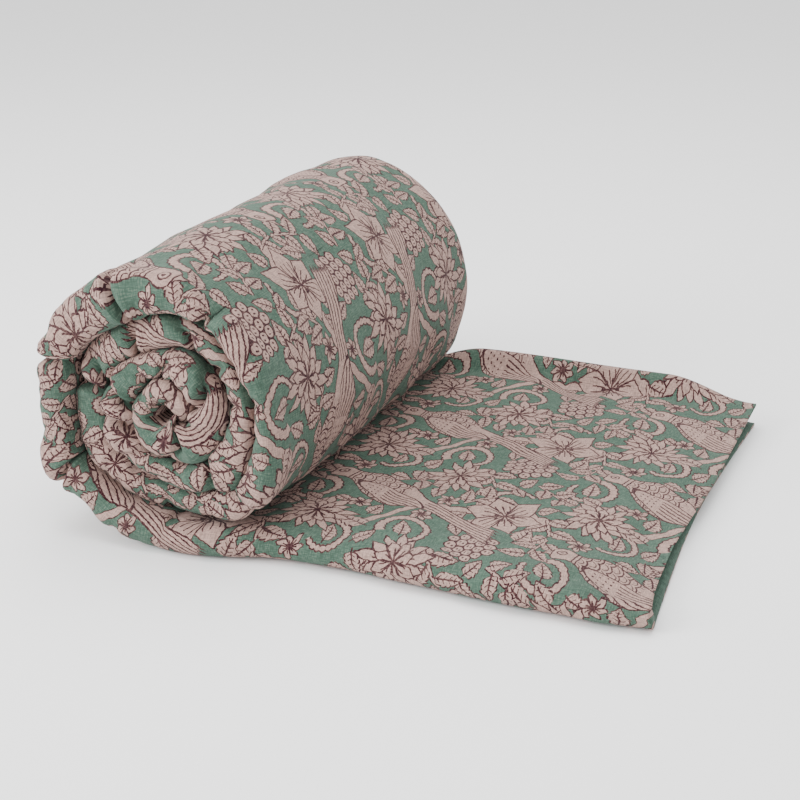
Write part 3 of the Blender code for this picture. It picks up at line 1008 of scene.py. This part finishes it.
def cotton(name, roughness):
    """A material with its node tree, its cloth coordinates in metres and its thread height."""
    material = bpy.data.materials.new(name)
    material.use_nodes = True
    tree = material.node_tree
    shader = tree.nodes["Principled BSDF"]
    shader.inputs["Roughness"].default_value = roughness
    shader.inputs["Specular IOR Level"].default_value = 0.12
    shader.inputs["Sheen Weight"].default_value = 0.045
    shader.inputs["Sheen Roughness"].default_value = 0.6
    cloth = add(tree, "UVMap", uv_map="cloth")
    cloth = add(tree, "VectorMath MULTIPLY", cloth, (-1.0, 1.0, 1.0))
    return material, tree, cloth, woven(tree, cloth)


def finish(material, tree, cloth, threads, colour):
    """Colours the cotton, raises its threads and the lumps of the wadding, and puts it on."""
    wadding = add(tree, "TexNoise", cloth, LUMPS, 2.5, 0.5, noise_dimensions="2D")
    height = add(tree, "MULTIPLY", threads, THREAD_HEIGHT)
    height = add(tree, "MULTIPLY_ADD", wadding, LUMP_HEIGHT, height)
    bump = add(tree, "Bump", 1.0, 1.0, None, height)
    shader = tree.nodes["Principled BSDF"]
    tree.links.new(bump.outputs[0], shader.inputs["Normal"])
    tree.links.new(colour.outputs[0], shader.inputs["Base Color"])
    quilt.data.materials.append(material)


# Printed cotton gives the eye its broken green and beige, with ink that lies unevenly.
SWAY = 0.0065               # how far the laid blocks wander off their place, from end to end
CUT = 0.0016                # and how rough their hand-cut outlines are
printed_cotton, tree, cloth, threads = cotton("hand block printed cotton", 0.88)
drawn = cloth
for pitch, detail, reach in ((22.0, 0.0, SWAY), (240.0, 1.0, CUT)):
    stray = add(tree, "TexNoise", cloth, pitch, detail, noise_dimensions="2D").outputs["Color"]
    stray = add(tree, "VectorMath SUBTRACT", stray, (0.5, 0.5, 0.5))
    stray = add(tree, "VectorMath MULTIPLY", stray, (reach, reach, 0.0))
    drawn = add(tree, "VectorMath ADD", drawn, stray)
bare, outlines = print_layers(tree, drawn)
# The ink takes unevenly on the threads, and thick threads show through the green.
patch = add(tree, "TexNoise", cloth, 38.0, 3.0, 0.6, noise_dimensions="2D")
take = add(tree, "MapRange", patch, 0.35, 0.60, 0.93, 1.0)
grain = add(tree, "MapRange", threads, 0.18, 0.38, 1.0, 0.86)
ink = add(tree, "MULTIPLY", take, grain)
ink = add(tree, "MULTIPLY", ink, outlines)
fleck = add(tree, "MapRange", threads, 0.30, 0.46, 0.0, 0.09)
bare = add(tree, "MAXIMUM", bare, fleck)
ground = add(tree, "Mix", patch, linear("#3D5246"), linear("#485E51"), data_type="RGBA")
beige = add(tree, "Mix", bare, ground, linear("#9A8077"), data_type="RGBA")
plum = add(tree, "Mix", ink, beige, linear("#2C0612"), data_type="RGBA")
shade = add(tree, "MapRange", threads, 0.12, 0.40, 0.70, 1.22)
colour = add(tree, "VectorMath MULTIPLY", plum, shade)
finish(printed_cotton, tree, cloth, threads, colour)

# Plain cotton gives a quiet grey-green. It shows only between the layers, at the open edges.
plain_cotton, tree, cloth, threads = cotton("plain dyed cotton", 0.9)
shade = add(tree, "MapRange", threads, 0.12, 0.40, 0.66, 1.24)
colour = add(tree, "VectorMath MULTIPLY", linear("#384C41")[:3], shade)
finish(plain_cotton, tree, cloth, threads, colour)

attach(quilt, "root")
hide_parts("quilt")

# --- Floor ------------------------------------------------
# A wide flat sheet of matt white paper under the quilt. It lies a hair below the cloth, so that
# the two faces don't flicker into each other.
bpy.ops.mesh.primitive_plane_add(size=30.0, location=(0.0, 0.0, -0.0005))
floor = bpy.context.object
floor.name = "floor"
paper = bpy.data.materials.new("white paper")
paper.use_nodes = True
shader = paper.node_tree.nodes["Principled BSDF"]
shader.inputs["Base Color"].default_value = (0.92, 0.92, 0.92, 1.0)
shader.inputs["Roughness"].default_value = 0.9
floor.data.materials.append(paper)


# --- Light and camera -------------------------------------
# Two soft boxes, one overhead and one in front on the left, in an even white room. The camera
# stands in front on the right and looks down at the fold side.
def area_light(name, location, aim, size, power):
    """A square soft box that faces a point."""
    data = bpy.data.lights.new(name, "AREA")
    data.shape = "SQUARE"
    data.size = size
    data.energy = power
    light = bpy.data.objects.new(name, data)
    light.location = location
    light.rotation_euler = (Vector(aim) - Vector(location)).to_track_quat("-Z", "Y").to_euler()
    bpy.context.scene.collection.objects.link(light)


area_light("overhead", (-0.2, 0.1, 2.4), (0.0, 0.0, 0.1), 2.2, 65.0)
area_light("front left", (-2.0, -2.1, 1.3), (0.0, 0.0, 0.1), 1.6, 110.0)
world = bpy.data.worlds.new("studio")
world.use_nodes = True
background = world.node_tree.nodes["Background"]
background.inputs["Color"].default_value = (1.0, 1.0, 1.0, 1.0)
background.inputs["Strength"].default_value = 1.45
bpy.context.scene.world = world

LOOK_DOWN = 21.24           # the camera's tilt below level, in degrees
LOOK_LEFT = 21.92           # and its turn to the left of straight ahead
lens = bpy.data.cameras.new("camera")
lens.lens = 67.5
lens.sensor_width = 36.0
camera = bpy.data.objects.new("camera", lens)
camera.location = (0.5121, -1.3367, 0.6377)
camera.rotation_euler = (math.radians(90.0 - LOOK_DOWN), 0.0, math.radians(LOOK_LEFT))
bpy.context.scene.collection.objects.link(camera)
bpy.context.scene.camera = camera
